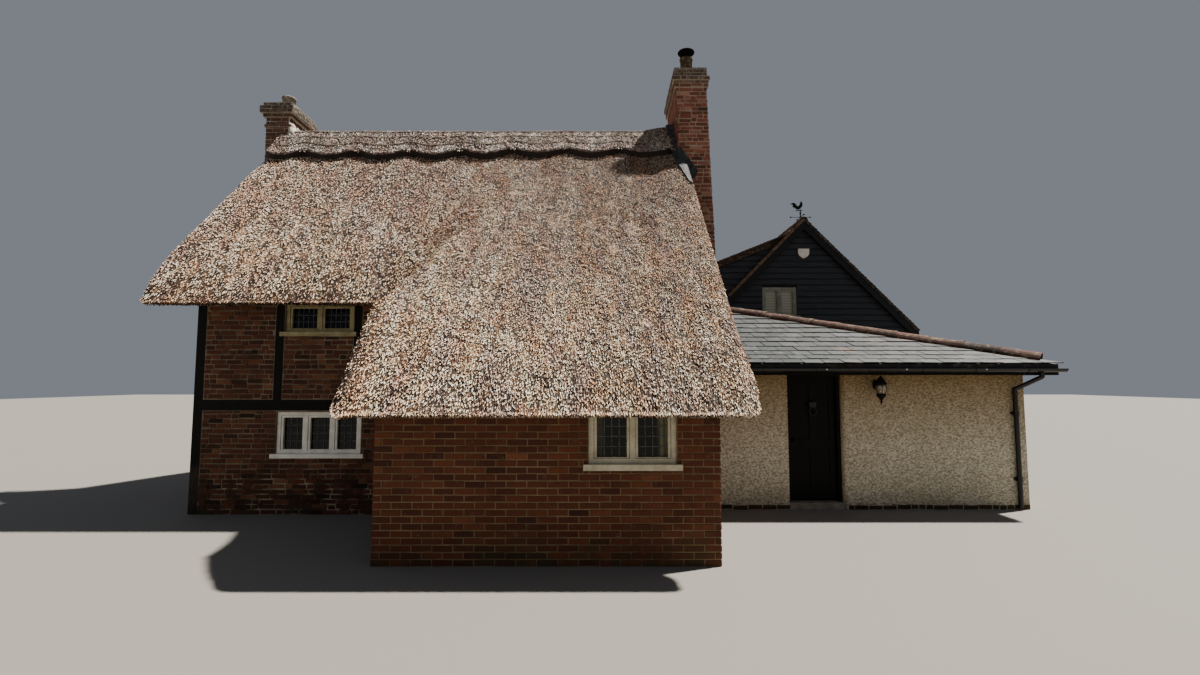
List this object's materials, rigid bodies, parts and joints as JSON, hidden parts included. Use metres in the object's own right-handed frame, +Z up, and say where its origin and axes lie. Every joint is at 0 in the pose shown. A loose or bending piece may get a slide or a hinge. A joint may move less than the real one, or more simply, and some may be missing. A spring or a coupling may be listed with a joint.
{
  "type": "thatched cottage",
  "caption": "Brick and timber cottage with a thatched catslide roof, brick chimneys, a slated entrance wing with a hinged door, and a boarded rear range with a weather vane.",
  "frame": {"origin": "middle of the base of the whole house, at ground level", "axes": "+X to the right of the entrance front, +Y towards the back, +Z up"},
  "size_m": [14.57, 12.088, 8.505],
  "materials": {
    "straw": "weathered water reed thatch, matt",
    "ridge_straw": "weathered sedge ridge, matt",
    "old_brick": "old hand-made brick, matt",
    "new_brick": "wire-cut brick, matt",
    "stack_brick": "weathered brick, matt",
    "lead": "dull grey sheet lead",
    "clay": "weathered fired clay with moss",
    "black_iron": "black painted iron",
    "tarred_wood": "black stained timber",
    "stone": "worn stone",
    "floor_board": "oiled floor boards",
    "cream_paint": "cream gloss paint on wood",
    "leaded_glass": "old glass in lead cames",
    "roughcast": "cream painted roughcast render",
    "slate": "blue-grey slate",
    "black_paint": "black satin paint on wood",
    "black_plastic": "black rainwater goods",
    "white_plastic": "plain white cover"
  },
  "bodies": {
    "house": {"thatch_coat": "straw", "thatch_ridge": "ridge_straw", "left_chimney": "stack_brick", "right_chimney": "stack_brick", "right_chimney_flashing": "lead", "left_chimney_flashing": "lead", "left_chimney_pot": "clay", "right_chimney_pot": "clay", "chimney_cowl": "black_iron", "front_wall": "old_brick", "back_wall": "old_brick", "left_gable_wall": "old_brick", "right_gable_wall": "old_brick", "timber_frame": "tarred_wood", "ground_floor": "stone", "upper_floor": "floor_board", "outshot_front_wall": "new_brick", "outshot_left_wall": "new_brick", "outshot_right_wall": "new_brick", "lower_window_frame": "cream_paint", "lower_window_glass": "leaded_glass", "upper_window_frame": "cream_paint", "upper_window_glass": "leaded_glass", "outshot_window_frame": "cream_paint", "outshot_window_glass": "leaded_glass", "back_lower_window_frame": "cream_paint", "back_lower_window_glass": "leaded_glass", "back_upper_window_frame": "cream_paint", "back_upper_window_glass": "leaded_glass", "range_window_frame": "cream_paint", "range_window_glass": "leaded_glass", "wing_front_wall_left": "roughcast", "wing_front_wall_over_door": "roughcast", "wing_front_wall_right": "roughcast", "wing_right_wall": "roughcast", "wing_back_corner_wall": "roughcast", "wing_floor": "stone", "wing_roof": "slate", "hip_tiles": "clay", "wing_fascia": "black_paint", "wing_gutter": "black_plastic", "wing_downpipe": "black_plastic", "door_frame": "black_paint", "door_step": "stone", "wall_lantern": "black_iron", "rear_gable_wall": "tarred_wood", "link_front_wall": "tarred_wood", "rear_back_wall": "tarred_wood", "link_left_wall": "tarred_wood", "rear_right_wall": "tarred_wood", "rear_roof_right": "clay", "rear_roof_left": "clay", "link_roof": "clay", "rear_ground_floor": "stone", "rear_upper_floor": "floor_board", "rear_bargeboards": "black_paint", "alarm_box": "white_plastic", "vane_mast": "black_iron"},
    "front_door": {"front_door": "black_paint"},
    "weather_vane": {"vane_cockerel": "black_iron"}
  },
  "joints": [
    {"name": "front_door_hinge", "type": "hinge", "parent": "house", "child": "front_door", "pos_m": [3.1725, -2.854, 1], "axis": [0, 0, -1], "range_deg": [0, 90]},
    {"name": "vane_turn", "type": "hinge", "parent": "house", "child": "weather_vane", "pos_m": [4.535, 2.044, 6.3], "axis": [0, 0, 1], "continuous": true}
  ]
}
